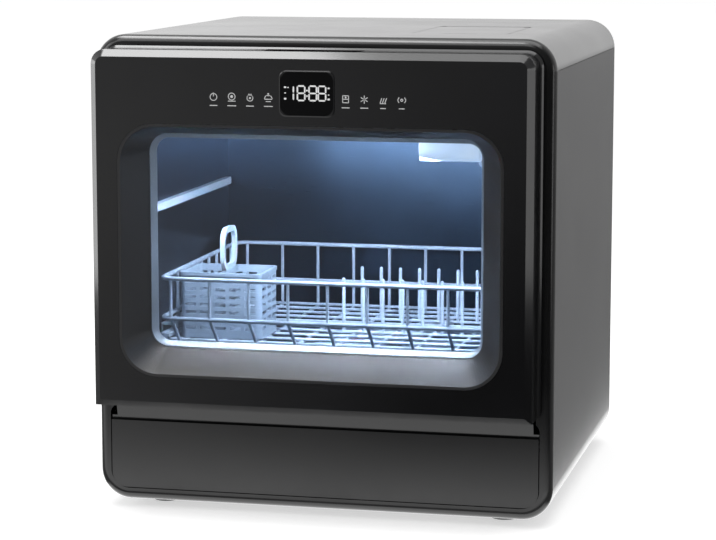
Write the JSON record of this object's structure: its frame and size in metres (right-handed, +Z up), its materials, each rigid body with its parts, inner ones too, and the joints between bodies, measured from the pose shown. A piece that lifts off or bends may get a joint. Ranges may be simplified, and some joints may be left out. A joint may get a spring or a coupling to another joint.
{
  "type": "countertop dishwasher",
  "caption": "Compact countertop dishwasher with a glazed drop-down door, pull-out wire rack, cutlery basket, spray arms and a top filler flap.",
  "frame": {"origin": "centre of the footprint at the height of the surface that the feet stand on", "axes": "+Z up, front door towards -Y, +X to the right as seen from the front"},
  "size_m": [0.42, 0.443, 0.435],
  "materials": {
    "gloss_black": "polished piano-black moulding",
    "black_plastic": "fine satin texture",
    "casing_plastic": "fine satin texture",
    "grey_moulding": "satin",
    "stainless": "bright rolled sheet",
    "steel_wire": "bright drawn wire",
    "zinc_steel": "zinc plated",
    "white_plastic": "smooth moulding",
    "blue_grey_plastic": "smooth moulding",
    "rubber": "moulded",
    "clear_glass": "toughened float glass",
    "display_black": "polished",
    "circuit_board": "solder mask",
    "float_orange": "closed-cell foam"
  },
  "bodies": {
    "casing": {"top_cover": "casing_plastic", "side_panel_left": "casing_plastic", "side_panel_right": "casing_plastic", "rear_panel": "casing_plastic", "base_tray": "black_plastic", "feet": "rubber", "front_frame": "black_plastic", "kick_panel": "black_plastic", "casing_screws": "zinc_steel", "filler_lid_pin": "zinc_steel", "filler_tray": "white_plastic", "tub": "stainless", "tub_gasket": "rubber", "rack_rails": "white_plastic", "lamp_cover": "white_plastic", "drying_vent": "blue_grey_plastic", "fan_housing": "black_plastic", "upper_feed": "blue_grey_plastic", "spray_pedestal": "blue_grey_plastic", "sump": "black_plastic", "filter_plate": "stainless", "heater": "zinc_steel", "wash_pump": "black_plastic", "drain_pump": "black_plastic", "water_tank": "white_plastic", "inlet_valve": "white_plastic", "drain_spigot": "white_plastic", "pump_hoses": "rubber", "control_board": "circuit_board", "cable_gland": "black_plastic", "latch_unit": "black_plastic", "hinge_brackets": "zinc_steel", "hinge_pins": "zinc_steel"},
    "door": {"door_panel": "gloss_black", "window_bezel": "grey_moulding", "outer_glass": "clear_glass", "window_seal": "white_plastic", "inner_glass": "clear_glass", "door_liner": "stainless", "display_lens": "display_black", "touch_board": "circuit_board", "grip_pocket": "black_plastic", "door_hook": "zinc_steel", "door_hinge_blocks": "black_plastic"},
    "rack": {"rack_end_grids": "steel_wire", "rack_side_grids": "steel_wire", "rack_floor_grid": "steel_wire", "plate_tines": "steel_wire"},
    "rack_wheel_pair": {"rack_wheels": "white_plastic"},
    "rail_roller_pair": {"rail_rollers": "white_plastic"},
    "basket": {"cutlery_basket": "white_plastic", "basket_handle": "white_plastic"},
    "filler_flap": {"filler_lid": "casing_plastic"},
    "lower_arm": {"lower_spray_arm": "white_plastic"},
    "upper_arm": {"upper_spray_arm": "white_plastic"},
    "filter": {"filter_cup": "blue_grey_plastic"},
    "wash_rotor": {"wash_impeller": "white_plastic"},
    "drain_rotor": {"drain_impeller": "white_plastic"},
    "fan_rotor": {"fan_impeller": "white_plastic"},
    "float": {"tank_float": "float_orange"}
  },
  "joints": [
    {"name": "door_hinge", "type": "hinge", "parent": "casing", "child": "door", "pos_m": [0, -0.1935, 0.112], "axis": [1, 0, 0], "range_deg": [0, 90]},
    {"name": "rack_slide", "type": "slide", "parent": "casing", "child": "rack", "axis": [0, -1, 0], "range_m": [0, 0.142]},
    {"name": "rack_wheel_spin", "type": "hinge", "parent": "rack", "child": "rack_wheel_pair", "pos_m": [0, 0.0945, 0.152], "axis": [1, 0, 0], "range_deg": [0, 1020]},
    {"name": "rail_roller_spin", "type": "hinge", "parent": "casing", "child": "rail_roller_pair", "pos_m": [0, -0.1175, 0.1447], "axis": [1, 0, 0], "range_deg": [0, 1020]},
    {"name": "basket_lift", "type": "slide", "parent": "rack", "child": "basket", "axis": [0, 0, 1], "range_m": [0, 0.06]},
    {"name": "filler_lid_hinge", "type": "hinge", "parent": "casing", "child": "filler_flap", "pos_m": [0.109, 0.0413, 0.4314], "axis": [-1, 0, 0], "range_deg": [0, 95]},
    {"name": "lower_arm_spin", "type": "hinge", "parent": "casing", "child": "lower_arm", "pos_m": [0, -0.0215, 0.137], "axis": [0, 0, 1], "continuous": true},
    {"name": "upper_arm_spin", "type": "hinge", "parent": "casing", "child": "upper_arm", "pos_m": [0, -0.0215, 0.346], "axis": [0, 0, 1], "continuous": true},
    {"name": "filter_twist", "type": "hinge", "parent": "casing", "child": "filter", "pos_m": [0.062, 0.0175, 0.11], "axis": [0, 0, 1], "range_deg": [0, 60]},
    {"name": "wash_impeller_spin", "type": "hinge", "parent": "casing", "child": "wash_rotor", "pos_m": [-0.075, -0.0015, 0.06], "axis": [1, 0, 0], "continuous": true},
    {"name": "drain_impeller_spin", "type": "hinge", "parent": "casing", "child": "drain_rotor", "pos_m": [0.15, 0.06, 0.052], "axis": [0, 1, 0], "continuous": true},
    {"name": "fan_spin", "type": "hinge", "parent": "casing", "child": "fan_rotor", "pos_m": [0.121, 0.1605, 0.3], "axis": [0, 1, 0], "continuous": true},
    {"name": "float_rise", "type": "slide", "parent": "casing", "child": "float", "axis": [0, 0, 1], "range_m": [0, 0.16]}
  ],
  "couplings": [
    {"joint": "rack_slide", "follows": "door_hinge", "m_per_rad": 0.09},
    {"joint": "rack_wheel_spin", "follows": "door_hinge", "ratio": 11.25},
    {"joint": "rail_roller_spin", "follows": "door_hinge", "ratio": 11.25}
  ]
}
